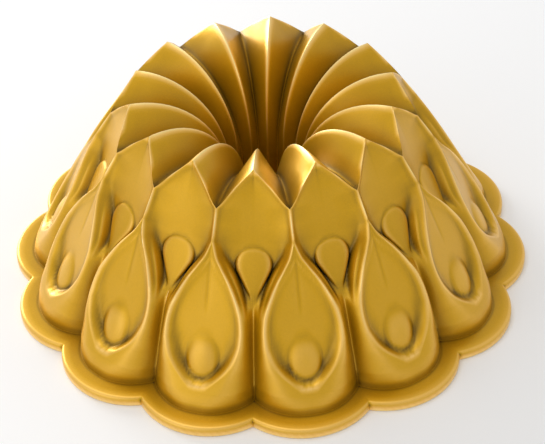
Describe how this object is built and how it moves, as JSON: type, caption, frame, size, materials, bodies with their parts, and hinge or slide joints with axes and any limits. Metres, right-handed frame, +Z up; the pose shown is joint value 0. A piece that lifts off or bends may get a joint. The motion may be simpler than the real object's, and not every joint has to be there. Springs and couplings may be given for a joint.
{
  "type": "bundt pan",
  "caption": "Cast ring cake pan with a scalloped rim, a leaf and drop relief on the wall and a fluted centre tube.",
  "frame": {"origin": "centre of the rim's resting plane, on the axis of the centre tube, with the pan upturned on its rim", "axes": "+Z up along the axis of the centre tube, from the rim to the crown; -Y through the centre of a leaf"},
  "size_m": [0.26, 0.2552, 0.1022],
  "materials": {
    "gold_coat": "satin metallic gold",
    "cast_aluminium": "machined satin",
    "release_coating": "satin bronze-gold"
  },
  "bodies": {
    "root": {"outer_coat": "gold_coat", "rim_flange": "cast_aluminium", "relief_wall": "cast_aluminium", "crown": "cast_aluminium", "centre_tube": "cast_aluminium", "nonstick_lining": "release_coating"}
  },
  "joints": []
}
